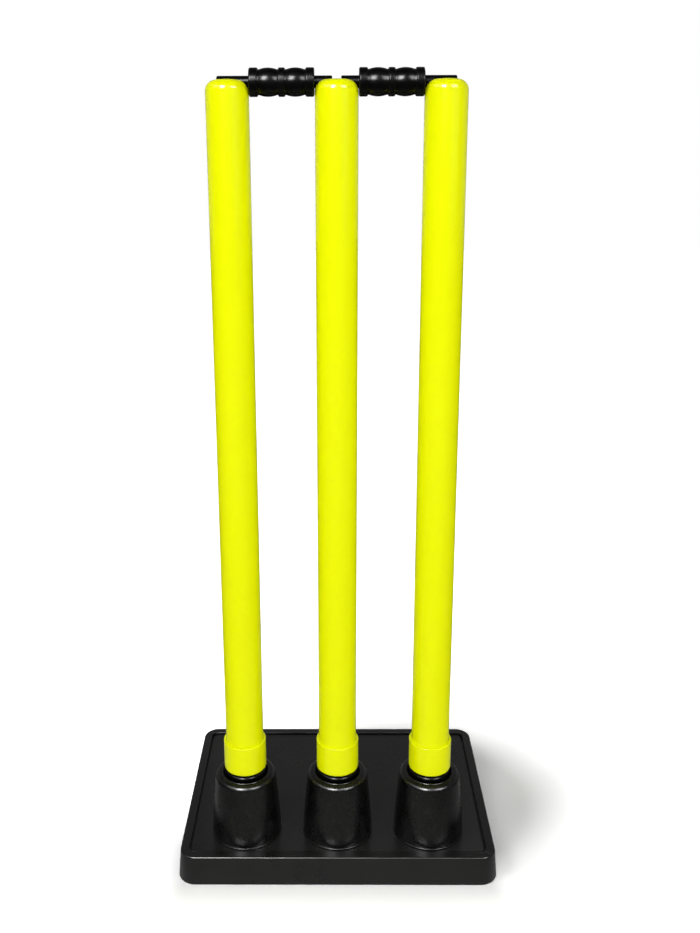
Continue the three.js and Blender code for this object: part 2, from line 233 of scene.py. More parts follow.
# Camera: the photograph's view, with its angles in radians

IMAGE_WIDTH, IMAGE_HEIGHT = 700, 933
SENSOR_WIDTH = 36
FOCAL_PIXELS = 985.75
PRINCIPAL_POINT = (327.2, 400.4)
CAMERA_PLACE = mm(-2.16, -958.4, 726.25)
CAMERA_PITCH = 0.2544
CAMERA_YAW = -0.0079
CAMERA_ROLL = 0.0037


def make_camera():
    data = bpy.data.cameras.new("camera")
    data.sensor_width = SENSOR_WIDTH
    data.lens = FOCAL_PIXELS * SENSOR_WIDTH / IMAGE_HEIGHT
    data.shift_x = (IMAGE_WIDTH / 2 - PRINCIPAL_POINT[0]) / IMAGE_HEIGHT
    data.shift_y = (PRINCIPAL_POINT[1] - IMAGE_HEIGHT / 2) / IMAGE_HEIGHT
    forward = Vector((
        math.sin(CAMERA_YAW) * math.cos(CAMERA_PITCH),
        math.cos(CAMERA_YAW) * math.cos(CAMERA_PITCH),
        -math.sin(CAMERA_PITCH),
    ))
    level_right = Vector((math.cos(CAMERA_YAW), -math.sin(CAMERA_YAW), 0))
    level_down = forward.cross(level_right)
    right = math.cos(CAMERA_ROLL) * level_right + math.sin(CAMERA_ROLL) * level_down
    up = math.sin(CAMERA_ROLL) * level_right - math.cos(CAMERA_ROLL) * level_down
    turn = Matrix((right, up, -forward)).transposed().to_4x4()
    camera = bpy.data.objects.new("camera", data)
    camera.matrix_world = Matrix.Translation(CAMERA_PLACE) @ turn
    bpy.context.scene.collection.objects.link(camera)
    bpy.context.scene.camera = camera


# Nodes

USUAL_NOISE = (0.3, 0.7)
EDGE_POINTINESS = (0.52, 0.6)


def grey(level):
    return (level, level, level, 1)


class Nodes:
    """A short way to add nodes to a material or world."""

    def __init__(self, owner):
        owner.use_nodes = True
        self.tree = owner.node_tree
        self.tree.nodes.clear()

    def add(self, kind, inputs=None, **settings):
        made = self.tree.nodes.new(kind)
        for key, value in settings.items():
            setattr(made, key, value)
        for key, value in (inputs or {}).items():
            if isinstance(value, bpy.types.NodeSocket):
                self.tree.links.new(value, made.inputs[key])
            else:
                made.inputs[key].default_value = value
        return made

    def math(self, operation, a, b):
        return self.add("ShaderNodeMath", {0: a, 1: b}, operation=operation).outputs[0]

    def vector(self, operation, a, b=(0, 0, 0)):
        made = self.add("ShaderNodeVectorMath", {0: a, 1: b}, operation=operation)
        return made.outputs["Vector"]

    def length(self, vector):
        return self.add("ShaderNodeVectorMath", {0: vector}, operation="LENGTH").outputs["Value"]

    def remap(self, value, from_min, from_max, to_min=0.0, to_max=1.0):
        inputs = {
            "Value": value,
            "From Min": from_min,
            "From Max": from_max,
            "To Min": to_min,
            "To Max": to_max,
        }
        return self.add("ShaderNodeMapRange", inputs).outputs["Result"]

    def mix(self, factor, low, high):
        """One colour where the factor is 0 and another where it is 1."""
        # A Mix node's inputs 6 and 7 and its output 2 are the ones for colours.
        made = self.add("ShaderNodeMix", {0: factor, 6: low, 7: high}, data_type="RGBA")
        return made.outputs[2]

    def coordinates(self, scale=(1, 1, 1)):
        """Places in the object's own space, in metres, which move with the piece."""
        object_space = self.add("ShaderNodeTexCoord").outputs["Object"]
        mapping = self.add("ShaderNodeMapping", {"Vector": object_space, "Scale": scale})
        return mapping.outputs["Vector"]

    def noise(self, size, detail=3.0, roughness=0.5, stretch=(1, 1, 1)):
        """Noise whose blotches are about `size` metres across, from 0 to 1."""
        inputs = {
            "Vector": self.coordinates(stretch),
            "Scale": 1 / size,
            "Detail": detail,
            "Roughness": roughness,
        }
        return self.add("ShaderNodeTexNoise", inputs).outputs["Fac"]

    def patches(self, size, detail, roughness, low, high):
        """Scattered patches: 0 where a noise is below low, and 1 where it is above high."""
        return self.remap(self.noise(size, detail, roughness), low, high)

    def edges(self):
        """How sharply a surface juts out, from 0 on a flat face to 1 on an edge."""
        pointiness = self.add("ShaderNodeNewGeometry").outputs["Pointiness"]
        return self.remap(pointiness, *EDGE_POINTINESS)

    def vary(self, noise, low, high):
        """A value that follows a noise from low to high."""
        return self.remap(noise, *USUAL_NOISE, low, high)

    def add_share(self, value, mask, amount):
        """The value, with the amount added where the mask is 1."""
        return self.math("ADD", value, self.math("MULTIPLY", mask, amount))

    def tint(self, colour, other, mask, amount):
        """The colour, with an amount of the other one where the mask is 1."""
        return self.mix(self.math("MULTIPLY", mask, amount), colour, other)

    def bump(self, height, distance, strength, normal=None):
        inputs = {"Height": height, "Distance": distance, "Strength": strength}
        if normal is not None:
            inputs["Normal"] = normal
        return self.add("ShaderNodeBump", inputs).outputs["Normal"]

    def surface(self, colour, roughness, normal, specular=0.5, metallic=0.0):
        shader = self.add("ShaderNodeBsdfPrincipled", {
            "Base Color": colour,
            "Metallic": metallic,
            "Roughness": roughness,
            "Specular IOR Level": specular,
            "Normal": normal,
        })
        self.add("ShaderNodeOutputMaterial", {"Surface": shader.outputs[0]})

    def shown(self, paths):
        """1 for rays from the camera, straight or through glass, and 0 for all others."""
        return self.math("MAXIMUM", paths["Is Camera Ray"], paths["Is Transmission Ray"])


def new_material(name):
    material = bpy.data.materials.new(name)
    return material, Nodes(material)


# Materials

YELLOW_DEEP = (0.86, 0.905, 0.0, 1)
YELLOW_BRIGHT = (0.88, 0.93, 0.0, 1)
YELLOW_SCUFFED = (0.72, 0.80, 0.02, 1)
RUST = (0.16, 0.07, 0.035, 1)
STEEL_STAINED = (0.42, 0.43, 0.44, 1)
STEEL_CLEAN = (0.58, 0.59, 0.6, 1)
LINES_ALONG_Z = (1, 1, 0.01)
LINES_ALONG_Y = (1, 0.15, 1)


def make_yellow_plastic():
    """Fluorescent yellow, satin from the mould, with faint lines along the stump."""
    material, n = new_material("yellow_plastic")
    clouds = n.noise(mm(60), detail=2)
    lines = n.noise(mm(2.2), detail=2, stretch=LINES_ALONG_Z)
    grain = n.noise(mm(0.7), detail=2)
    scuffs = n.patches(mm(9), detail=5, roughness=0.7, low=0.62, high=0.75)
    colour = n.mix(clouds, YELLOW_DEEP, YELLOW_BRIGHT)
    lined = n.bump(lines, distance=mm(0.01), strength=0.3)
    n.surface(
        colour=n.tint(colour, YELLOW_SCUFFED, mask=scuffs, amount=0.12),
        roughness=n.add_share(n.vary(lines, low=0.14, high=0.18), mask=scuffs, amount=0.12),
        normal=n.bump(grain, distance=mm(0.012), strength=0.5, normal=lined),
        specular=0.24,
    )
    return material


def make_black_plastic():
    """Glossy black of the bails and feet, with light handling marks."""
    material, n = new_material("black_plastic")
    clouds = n.noise(mm(12), detail=3)
    grain = n.noise(mm(0.9), detail=3)
    marks = n.patches(mm(3.5), detail=6, roughness=0.75, low=0.6, high=0.75)
    colour = n.mix(clouds, grey(0.001), grey(0.003))
    n.surface(
        colour=n.tint(colour, grey(0.012), mask=n.edges(), amount=0.3),
        roughness=n.add_share(n.vary(clouds, low=0.22, high=0.27), mask=marks, amount=0.08),
        normal=n.bump(grain, distance=mm(0.015), strength=0.4),
        specular=0.145,
    )
    return material


def make_black_rubber():
    """Deep black moulded rubber with a fine pebbled skin and a dusting of pale specks."""
    material, n = new_material("black_rubber")
    clouds = n.noise(mm(16), detail=4, roughness=0.6)
    pebbles = n.noise(mm(1.9), detail=3, roughness=0.6)
    dents = n.noise(mm(9), detail=3)
    specks = n.patches(mm(2), detail=5, roughness=0.75, low=0.54, high=0.66)
    dust = n.math("MULTIPLY", specks, n.remap(clouds, from_min=0.35, from_max=0.6))
    colour = n.mix(clouds, grey(0.0008), grey(0.002))
    pebbled = n.bump(pebbles, distance=mm(0.2), strength=0.75)
    n.surface(
        colour=n.tint(colour, grey(0.03), mask=dust, amount=0.6),
        roughness=n.add_share(n.vary(clouds, low=0.26, high=0.31), mask=dust, amount=0.1),
        normal=n.bump(dents, distance=mm(0.5), strength=0.2, normal=pebbled),
        specular=0.39,
    )
    return material


def make_base_plastic():
    """Very dark grey plastic with a fine moulded grain, paler and smoother on rubbed edges."""
    material, n = new_material("base_plastic")
    clouds = n.noise(mm(45), detail=3, roughness=0.6)
    grain = n.noise(mm(0.8), detail=3, roughness=0.6)
    rubbed = n.edges()
    colour = n.mix(clouds, grey(0.004), grey(0.006))
    n.surface(
        colour=n.tint(colour, grey(0.03), mask=rubbed, amount=0.5),
        roughness=n.add_share(n.vary(clouds, low=0.26, high=0.32), mask=rubbed, amount=-0.08),
        normal=n.bump(grain, distance=mm(0.06), strength=0.4),
    )
    return material


def make_cast_iron():
    """Grey sand-cast iron under a thin skin of rust."""
    material, n = new_material("cast_iron")
    sand = n.noise(mm(1.8), detail=4, roughness=0.7)
    rust = n.patches(mm(14), detail=5, roughness=0.65, low=0.5, high=0.66)
    colour = n.mix(sand, grey(0.09), grey(0.16))
    n.surface(
        colour=n.tint(colour, RUST, mask=rust, amount=0.6),
        roughness=n.remap(rust, from_min=0, from_max=1, to_min=0.55, to_max=0.85),
        normal=n.bump(sand, distance=mm(0.4), strength=0.5),
        metallic=0.8,
    )
    return material


def make_screw_steel():
    """Zinc-plated steel, lightly brushed, with dull stains."""
    material, n = new_material("screw_steel")
    brushed = n.noise(mm(0.35), detail=2, stretch=LINES_ALONG_Y)
    stains = n.noise(mm(2.5), detail=4)
    n.surface(
        colour=n.mix(stains, STEEL_STAINED, STEEL_CLEAN),
        roughness=n.vary(brushed, low=0.26, high=0.4),
        normal=n.bump(brushed, distance=mm(0.02), strength=0.4),
        metallic=1.0,
    )
    return material


# Stump tubes: hollow, with a crowned dome and a groove across it for the bails

TUBE_WALL = mm(3)
TUBE_END_THICKNESS = mm(5.8)
TUBE_END_FILLET = mm(3)
TUBE_LOWER_ROUND = mm(0.5)
DOME_CORNER_RADIUS = mm(8.8)
DOME_CROWN_RADIUS = mm(75)
GROOVE_DEPTH = mm(9.2)
GROOVE_RADIUS = mm(5.8)
GROOVE_EDGE_ROUND = mm(0.9)
GROOVE_STEPS, GROOVE_SAMPLES = 36, 60
DOME_STEPS, DOME_SAMPLES = 30, 300
EDGE_CROWDING = 1.7
EDGE_SEARCH_ROUNDS = 50
LEAST_SINE = 1e-9
SETTLE_ROUNDS = 8
SETTLE_STEP = mm(0.002)
LEAST_SQUARED_SLOPE = 0.25

tube_radius = (tube_high.x - tube_low.x) / 2
dome_corner_r = tube_radius - DOME_CORNER_RADIUS
dome_crown_z = tube_high.z - DOME_CROWN_RADIUS
dome_crown_reach = DOME_CROWN_RADIUS - DOME_CORNER_RADIUS
dome_corner_z = dome_crown_z + math.sqrt(dome_crown_reach**2 - dome_corner_r**2)
groove_axis_z = tube_high.z - GROOVE_DEPTH + GROOVE_RADIUS


def dome_height(r):
    crown_edge = dome_corner_r * DOME_CROWN_RADIUS / dome_crown_reach
    if r <= crown_edge:
        return dome_crown_z + math.sqrt(DOME_CROWN_RADIUS**2 - r**2)
    return dome_corner_z + math.sqrt(max(DOME_CORNER_RADIUS**2 - (r - dome_corner_r) ** 2, 0))


def groove_height(y):
    return groove_axis_z - math.sqrt(max(GROOVE_RADIUS**2 - y**2, 0))


def dome_distance(points):
    """How far points lie outside the crowned dome."""
    r = np.hypot(points[:, 0], points[:, 1])
    z = points[:, 2]
    crown = np.hypot(r, z - dome_crown_z) - DOME_CROWN_RADIUS
    rounding = np.hypot(r - dome_corner_r, z - dome_corner_z) - DOME_CORNER_RADIUS
    in_crown = r * (dome_corner_z - dome_crown_z) < dome_corner_r * (z - dome_crown_z)
    return np.where(z < dome_corner_z, r - tube_radius, np.where(in_crown, crown, rounding))


def groove_distance(points):
    """How far points lie outside the bail's groove, which runs along X."""
    y = np.abs(points[:, 1])
    below = groove_axis_z - points[:, 2]
    return np.where(below > 0, np.hypot(y, below), y) - GROOVE_RADIUS


def grooved_dome_distance(points):
    """How far points lie outside the dome less the groove, whose edges are rounded."""
    dome = dome_distance(points)
    groove = -groove_distance(points)
    outside = np.hypot(
        np.maximum(dome + GROOVE_EDGE_ROUND, 0),
        np.maximum(groove + GROOVE_EDGE_ROUND, 0),
    )
    return np.minimum(np.maximum(dome, groove), -GROOVE_EDGE_ROUND) + outside


def grooved_dome_slope(points):
    """How fast that distance grows along each axis."""
    slopes = []
    for step in np.eye(3) * SETTLE_STEP:
        rise = grooved_dome_distance(points + step) - grooved_dome_distance(points - step)
        slopes.append(rise / (2 * SETTLE_STEP))
    return np.stack(slopes, axis=1)


def settle(points):
    """Moves points along the slope until they lie on the grooved dome."""
    for _ in range(SETTLE_ROUNDS):
        slope = grooved_dome_slope(points)
        squared = np.maximum((slope**2).sum(axis=1), LEAST_SQUARED_SLOPE)
        points = points - slope * (grooved_dome_distance(points) / squared)[:, None]
    return points


def groove_edge(sine):
    """The radius where a slice at an angle with this sine meets the groove's edge."""
    wall = GROOVE_RADIUS / max(sine, LEAST_SINE)
    if wall < tube_radius and dome_height(wall) > groove_axis_z:
        return wall
    low, high = dome_corner_r, min(wall, tube_radius)
    for _ in range(EDGE_SEARCH_ROUNDS):
        guess = (low + high) / 2
        if dome_height(guess) > groove_height(guess * sine):
            low = guess
        else:
            high = guess
    return low


def spread(path, shares):
    """Points at shares of the way along a path of (radius, height) points."""
    path = np.array(path)
    travelled = np.concatenate([[0], np.cumsum(np.hypot(*np.diff(path, axis=0).T))])
    wanted = travelled[-1] * shares
    radii, heights = (np.interp(wanted, travelled, column) for column in path.T)
    return list(zip(radii, heights))


def dome_slice(sine):
    """(radius, height) points from the tube's side up the dome to the groove's edge."""
    edge = groove_edge(sine)
    radii = tube_radius - (tube_radius - edge) * np.linspace(0, 1, DOME_SAMPLES + 1) ** 2
    path = [(r, dome_height(r)) for r in radii]
    return spread(path, 1 - (1 - np.linspace(0, 1, DOME_STEPS + 1)) ** EDGE_CROWDING)


def groove_slice(sine):
    """(radius, height) points from the groove's edge down its wall and along its floor."""
    edge = groove_edge(sine)
    path = [(edge, dome_height(edge))]
    for i in range(GROOVE_SAMPLES + 1):
        r = edge * math.sin(math.pi / 2 * (1 - i / GROOVE_SAMPLES))
        path.append((r, groove_height(min(r * sine, GROOVE_RADIUS))))
    return spread(path, np.linspace(0, 1, GROOVE_STEPS + 1) ** EDGE_CROWDING)


def grooved_top_rings():
    """Rings from the tube's side up over the dome and down to the middle of the groove."""
    slices = []
    for i in range(ROUND_STEPS):
        angle = 2 * math.pi * i / ROUND_STEPS
        sine = abs(math.sin(angle))
        outline = dome_slice(sine) + groove_slice(sine)[1:-1]
        slices.append([(r * math.cos(angle), r * math.sin(angle), z) for r, z in outline])
    grid = np.array(slices).transpose(1, 0, 2)
    fixed, free = grid[:1], grid[1:]
    settled = settle(free.reshape(-1, 3)).reshape(free.shape)
    return [*fixed, *settled, [(0, 0, groove_axis_z - GROOVE_RADIUS)]]


def make_tube(side, material):
    bore = tube_radius - TUBE_WALL
    bore_end = tube_high.z - GROOVE_DEPTH - TUBE_END_THICKNESS
    outline = supported([
        (0, bore_end),
        *round_corner((bore, bore_end), TUBE_END_FILLET, 90, 0),
        (bore, tube_low.z),
        *round_corner((tube_radius, tube_low.z), TUBE_LOWER_ROUND, -90, 0),
        (tube_radius, dome_corner_z),
    ])
    lower_rings = [circle(r, z, ROUND_STEPS) for r, z in outline[:-1]]
    tube = skin(f"{side}_stump_tube", [*lower_rings, *grooved_top_rings()])
    set_on_axis(tube, f"{side}_tube")
    dress(tube, material, BODY_OF_STUMP[side], f"{side}_tube")


# Collars

COLLAR_TUBE_GAP = mm(0.15)
COLLAR_LOWER_ROUND = mm(1.95)
COLLAR_LIP_ROUND = mm(0.85)
COLLAR_BORE_ROUND = mm(0.2)


def make_collar(side, material):
    radius = (collar_high.x - collar_low.x) / 2
    bore = tube_radius + COLLAR_TUBE_GAP
    outline = [
        *round_corner((bore, collar_high.z), COLLAR_BORE_ROUND, 90, 180, HIDDEN_ARC_STEPS),
        (bore, collar_low.z),
        *round_corner((radius, collar_low.z), COLLAR_LOWER_ROUND, -90, 0, LARGE_ARC_STEPS),
        *round_corner((radius, collar_high.z), COLLAR_LIP_ROUND, 0, 90, WIDE_ARC_STEPS),
    ]
    collar = lathe(f"{side}_stump_collar", outline, closed=True)
    set_on_axis(collar, f"{side}_collar")
    dress(collar, material, BODY_OF_STUMP[side], f"{side}_collar")


# Feet: a spigot for the socket, a ring that rests on it, a neck, and a plug in the tube

FOOT_NECK_RADIUS = mm(18.7)
FOOT_RING_RADIUS = mm(20.9)
FOOT_RING_ROUND = mm(2.9)
FOOT_RING_RISE = mm(1.85)
FOOT_SPIGOT_STEP = mm(1.3)
FOOT_SPIGOT_TAPER = math.tan(math.radians(2))
FOOT_TIP_ROUND = mm(2)
FOOT_PLUG_RADIUS = mm(15.75)
FOOT_PLUG_WALL = mm(2.6)
FOOT_PLUG_LEAD = mm(1.2)

foot_ring_z = socket_crest + FOOT_RING_RISE
spigot_top = foot_ring_z - FOOT_RING_ROUND


def spigot_radius_at(z):
    return FOOT_NECK_RADIUS - FOOT_SPIGOT_STEP - (spigot_top - z) * FOOT_SPIGOT_TAPER


def make_foot(side, material):
    tip_radius = spigot_radius_at(foot_low.z)
    ring_centre = FOOT_RING_RADIUS - FOOT_RING_ROUND
    neck_angle = math.degrees(math.acos((FOOT_NECK_RADIUS - ring_centre) / FOOT_RING_ROUND))
    bore = FOOT_PLUG_RADIUS - FOOT_PLUG_WALL
    outline = [
        (0, foot_low.z),
        *round_corner((tip_radius, foot_low.z), FOOT_TIP_ROUND, -90, 0),
        (spigot_radius_at(spigot_top), spigot_top),
        *arc((ring_centre, foot_ring_z), FOOT_RING_ROUND, -90, neck_angle, FOOT_RING_STEPS),
        (FOOT_NECK_RADIUS, collar_low.z),
        (FOOT_PLUG_RADIUS, collar_low.z),
        (FOOT_PLUG_RADIUS, foot_high.z - FOOT_PLUG_LEAD),
        (FOOT_PLUG_RADIUS - FOOT_PLUG_LEAD, foot_high.z),
        (bore, foot_high.z),
        (bore, collar_low.z + FOOT_PLUG_WALL),
        (0, collar_low.z + FOOT_PLUG_WALL),
    ]
    foot = lathe(f"{side}_stump_foot", outline)
    set_on_axis(foot, f"{side}_foot")
    dress(foot, material, BODY_OF_STUMP[side], f"{side}_foot")


# Sockets: a rubber cone through the deck, with a flange and a skirt below it

SOCKET_FOOT_RADIUS = mm(36)
SOCKET_LEAN = mm(4.9)
SOCKET_TAPER_POWER = 1.3
SOCKET_WALL_STEPS = 12
SOCKET_SHOULDER_ROUND = mm(5)
SOCKET_MOUTH_RADIUS = mm(23)
SOCKET_LIP_ROUND = mm(0.7)
SOCKET_LIP_RISE = mm(0.5)
SOCKET_MOUTH_DEPTH = mm(2.2)
SOCKET_FUNNEL_DEPTH = mm(5.5)
SOCKET_GAP = mm(0.3)
SOCKET_BEAD = mm(0.7)
SOCKET_SKIRT_RADIUS = mm(38)
SOCKET_FLANGE_RADIUS = mm(42)
SOCKET_FLANGE_THICKNESS = mm(4)
SOCKET_RECESS_RADIUS = mm(24)
SOCKET_RECESS_DRAFT = math.tan(math.radians(3))
SOCKET_RECESS_TOP = mm(36)
SOCKET_BORE_FLOOR = mm(42)


def socket_wall(height):
    """(radius, height) points up the wall, which leans in more the higher it goes."""
    wall = []
    for i in range(1, SOCKET_WALL_STEPS + 1):
        share = i / SOCKET_WALL_STEPS
        lean = SOCKET_LEAN * share**SOCKET_TAPER_POWER
        wall.append((SOCKET_FOOT_RADIUS - lean, DECK_TOP + height * share))
    return wall


def make_socket(side, material):
    top, bottom = socket_crest, socket_low.z
    shoulder = SOCKET_FOOT_RADIUS - SOCKET_LEAN
    bead_centre = (SOCKET_FOOT_RADIUS, DECK_TOP + SOCKET_GAP + SOCKET_BEAD)
    bore_top = top - SOCKET_MOUTH_DEPTH - SOCKET_FUNNEL_DEPTH
    flange_bottom = DECK_UNDERSIDE - SOCKET_FLANGE_THICKNESS
    recess_draft = (SOCKET_RECESS_TOP - bottom) * SOCKET_RECESS_DRAFT
    lip_centre = (SOCKET_MOUTH_RADIUS + SOCKET_LIP_ROUND, top + SOCKET_LIP_RISE - SOCKET_LIP_ROUND)
    lip_foot = math.degrees(math.asin((SOCKET_LIP_ROUND - SOCKET_LIP_RISE) / SOCKET_LIP_ROUND))
    outline = [
        (0, SOCKET_RECESS_TOP),
        (SOCKET_RECESS_RADIUS - recess_draft, SOCKET_RECESS_TOP),
        (SOCKET_RECESS_RADIUS, bottom),
        (SOCKET_SKIRT_RADIUS, bottom),
        (SOCKET_SKIRT_RADIUS, flange_bottom),
        (SOCKET_FLANGE_RADIUS, flange_bottom),
        (SOCKET_FLANGE_RADIUS, DECK_UNDERSIDE),
        (SOCKET_FOOT_RADIUS, DECK_UNDERSIDE),
        *arc(bead_centre, SOCKET_BEAD, -90, 90, WIDE_ARC_STEPS),
        *socket_wall(top - DECK_TOP - SOCKET_SHOULDER_ROUND),
        *round_corner((shoulder, top), SOCKET_SHOULDER_ROUND, 0, 90, LARGE_ARC_STEPS)[1:],
        *arc(lip_centre, SOCKET_LIP_ROUND, lip_foot, 180, WIDE_ARC_STEPS),
        (SOCKET_MOUTH_RADIUS, top - SOCKET_MOUTH_DEPTH),
        (spigot_radius_at(bore_top) + SOCKET_GAP, bore_top),
        (spigot_radius_at(SOCKET_BORE_FLOOR) + SOCKET_GAP, SOCKET_BORE_FLOOR),
        (0, SOCKET_BORE_FLOOR),
    ]
    socket = lathe(f"{side}_rubber_socket", outline)
    set_on_axis(socket, f"{side}_socket")
    dress(socket, material, "base", f"{side}_socket")


# Bails: a barrel of three rings and two balls between a long and a short spigot

BAIL_SPIGOT_RADIUS = mm(5.45)
BAIL_SPIGOT_ROUND = mm(1.1)
BAIL_LONG_SPIGOT = mm(28)
BAIL_SHORT_SPIGOT = mm(15.5)
BAIL_RING_RADIUS = mm(12.2)
BAIL_RING_ROUND = mm(1.3)
BAIL_END_RING = mm(7.6)
BAIL_MIDDLE_RING = mm(6)
BAIL_BALL_DROP = mm(0.1)
BAIL_BALL_END_DROP = mm(1.9)
BAIL_CORNER_FILLET = mm(0.6)
BAIL_BALL_STEPS = 20


def bail_ring(start, length):
    return [
        *round_corner((BAIL_RING_RADIUS, start), BAIL_RING_ROUND, -90, 0),
        *round_corner((BAIL_RING_RADIUS, start + length), BAIL_RING_ROUND, 0, 90),
    ]


def bail_ball(start, length):
    points = []
    for i in range(1, BAIL_BALL_STEPS):
        share = i / BAIL_BALL_STEPS
        swell = 1 - (2 * share - 1) ** 2
        drop = BAIL_BALL_END_DROP - (BAIL_BALL_END_DROP - BAIL_BALL_DROP) * swell
        points.append((BAIL_RING_RADIUS - drop, start + share * length))
    return points


def bail_outline(barrel_length):
    """(radius, place along X) points from the long spigot's end to the short one's."""
    low, high = -barrel_length / 2, barrel_length / 2
    long_end, short_end = low - BAIL_LONG_SPIGOT, high + BAIL_SHORT_SPIGOT
    ball_length = (barrel_length - 2 * BAIL_END_RING - BAIL_MIDDLE_RING) / 2
    outline = [
        (0, long_end),
        *round_corner((BAIL_SPIGOT_RADIUS, long_end), BAIL_SPIGOT_ROUND, -90, 0),
        *round_corner((BAIL_SPIGOT_RADIUS, low), BAIL_CORNER_FILLET, 180, 90, SMALL_ARC_STEPS),
    ]
    x = low
    for shape, length in (
        (bail_ring, BAIL_END_RING),
        (bail_ball, ball_length),
        (bail_ring, BAIL_MIDDLE_RING),
        (bail_ball, ball_length),
        (bail_ring, BAIL_END_RING),
    ):
        outline.extend(shape(x, length))
        x += length
    return [
        *outline,
        *round_corner((BAIL_SPIGOT_RADIUS, high), BAIL_CORNER_FILLET, 270, 180, SMALL_ARC_STEPS),
        *round_corner((BAIL_SPIGOT_RADIUS, short_end), BAIL_SPIGOT_ROUND, 0, 90),
        (0, short_end),
    ]


def make_bail(side, material):
    """A bail along X, with its long spigot on the outer stump."""
    low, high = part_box(f"{side}_bail")
    centre = (low + high) / 2
    barrel_length = high.x - low.x - BAIL_LONG_SPIGOT - BAIL_SHORT_SPIGOT
    bail = lathe(f"{side}_turned_bail", bail_outline(barrel_length), BAIL_STEPS)
    inward = 1 if side == "left" else -1
    outer_end = low.x if side == "left" else high.x
    barrel_middle = outer_end + inward * (BAIL_LONG_SPIGOT + barrel_length / 2)
    along_x = Matrix.Rotation(math.radians(90) * inward, 4, "Y")
    place(bail, Matrix.Translation((barrel_middle, centre.y, centre.z)) @ along_x)
    dress(bail, material, f"{side}_bail", f"{side}_bail")


# Base cover: drafted walls, a flat rim, a narrow groove all round, and a deck with holes

BASE_CORNER_RADIUS = mm(18.5)
LEAST_CORNER_RADIUS = mm(2)
WALL_DRAFT = math.tan(math.radians(4.5))
WALL_THICKNESS = mm(3)
LOWER_EDGE_ROUND = mm(0.8)
RIM_WIDTH = mm(8.8)
RIM_OUTER_ROUND = mm(1.4)
RIM_INNER_ROUND = mm(0.5)
DECK_EDGE_ROUND = mm(0.6)
RIM_GROOVE_WIDTH = mm(1.8)
RIM_GROOVE_DEPTH = mm(2.4)
DECK_HOLE_OVERRUN = mm(5)
QUARTERS = ((1, 1), (-1, 1), (-1, -1), (1, -1))


def base_ring(inset, height):
    """The base's outline drawn in by an inset."""
    half_x = (cover_high.x - cover_low.x) / 2 - inset
    half_y = (cover_high.y - cover_low.y) / 2 - inset
    radius = max(BASE_CORNER_RADIUS - inset, LEAST_CORNER_RADIUS)
    ring = []
    for quarter, (side_x, side_y) in enumerate(QUARTERS):
        for i in range(CORNER_STEPS + 1):
            angle = math.radians(90) * (quarter + i / CORNER_STEPS)
            x = side_x * (half_x - radius) + radius * math.cos(angle)
            y = side_y * (half_y - radius) + radius * math.sin(angle)
            ring.append((x, y, height))
    return ring


def make_cover(material):
    height = cover_high.z
    rim_outer = (height - RIM_OUTER_ROUND) * WALL_DRAFT
    groove_outer = height * WALL_DRAFT + RIM_WIDTH
    groove_inner = groove_outer + RIM_GROOVE_WIDTH
    groove_bottom = DECK_TOP - RIM_GROOVE_DEPTH
    outline = supported([
        (DECK_UNDERSIDE * WALL_DRAFT + WALL_THICKNESS, DECK_UNDERSIDE),
        (WALL_THICKNESS, 0),
        *round_corner((0, 0), LOWER_EDGE_ROUND, 270, 180, SMALL_ARC_STEPS),
        *round_corner((rim_outer, height), RIM_OUTER_ROUND, 180, 90, WIDE_ARC_STEPS),
        *round_corner((groove_outer, height), RIM_INNER_ROUND, 90, 0, SMALL_ARC_STEPS),
        (groove_outer, groove_bottom),
        (groove_inner, groove_bottom),
        *round_corner((groove_inner, DECK_TOP), DECK_EDGE_ROUND, 180, 90, SMALL_ARC_STEPS),
        (groove_inner + DECK_EDGE_ROUND + SUPPORT_REACH, DECK_TOP),
    ])
    cover = skin("moulded_base_cover", [base_ring(inset, z) for inset, z in outline])
    hole_radius = SOCKET_FOOT_RADIUS + SOCKET_GAP
    hole_low, hole_high = DECK_UNDERSIDE - DECK_HOLE_OVERRUN, DECK_TOP + DECK_HOLE_OVERRUN
    holes = [
        set_on_axis(cylinder("hole", hole_radius, hole_low, hole_high), f"{side}_socket")
        for side in SIDES
    ]
    cut(cover, holes)
    finish_shading(cover.data)
    dress(cover, material, "base", "base_cover")


# Base plate, and the screws that hold it from below

PLATE_THICKNESS = mm(3.5)
PLATE_EDGE_GAP = mm(0.3)
PLATE_EDGE_ROUND = mm(0.6)
WELL_RADIUS = mm(7.5)
WELL_HEIGHT = mm(6.5)
HEAD_HOLE_RADIUS = mm(4.4)
HEAD_HOLE_CHAMFER = mm(0.4)
SHANK_HOLE_RADIUS = mm(2.3)
SCREW_SEAT = mm(3.2)
SCREW_HEAD_RADIUS = mm(4.1)
SCREW_HEAD_ROUND = mm(1.3)
SCREW_SHANK_RADIUS = mm(2)
SCREW_TIP_LENGTH = mm(2.5)
SCREW_TURN_DEGREES = 37
RECESS_DEPTH = mm(1.7)
RECESS_MOUTH = mm(2.35, 0.55)
RECESS_FLOOR = mm(0.9, 0.32)
RECESS_OVERRUN = mm(0.1)
CUT_OVERRUN = mm(1)


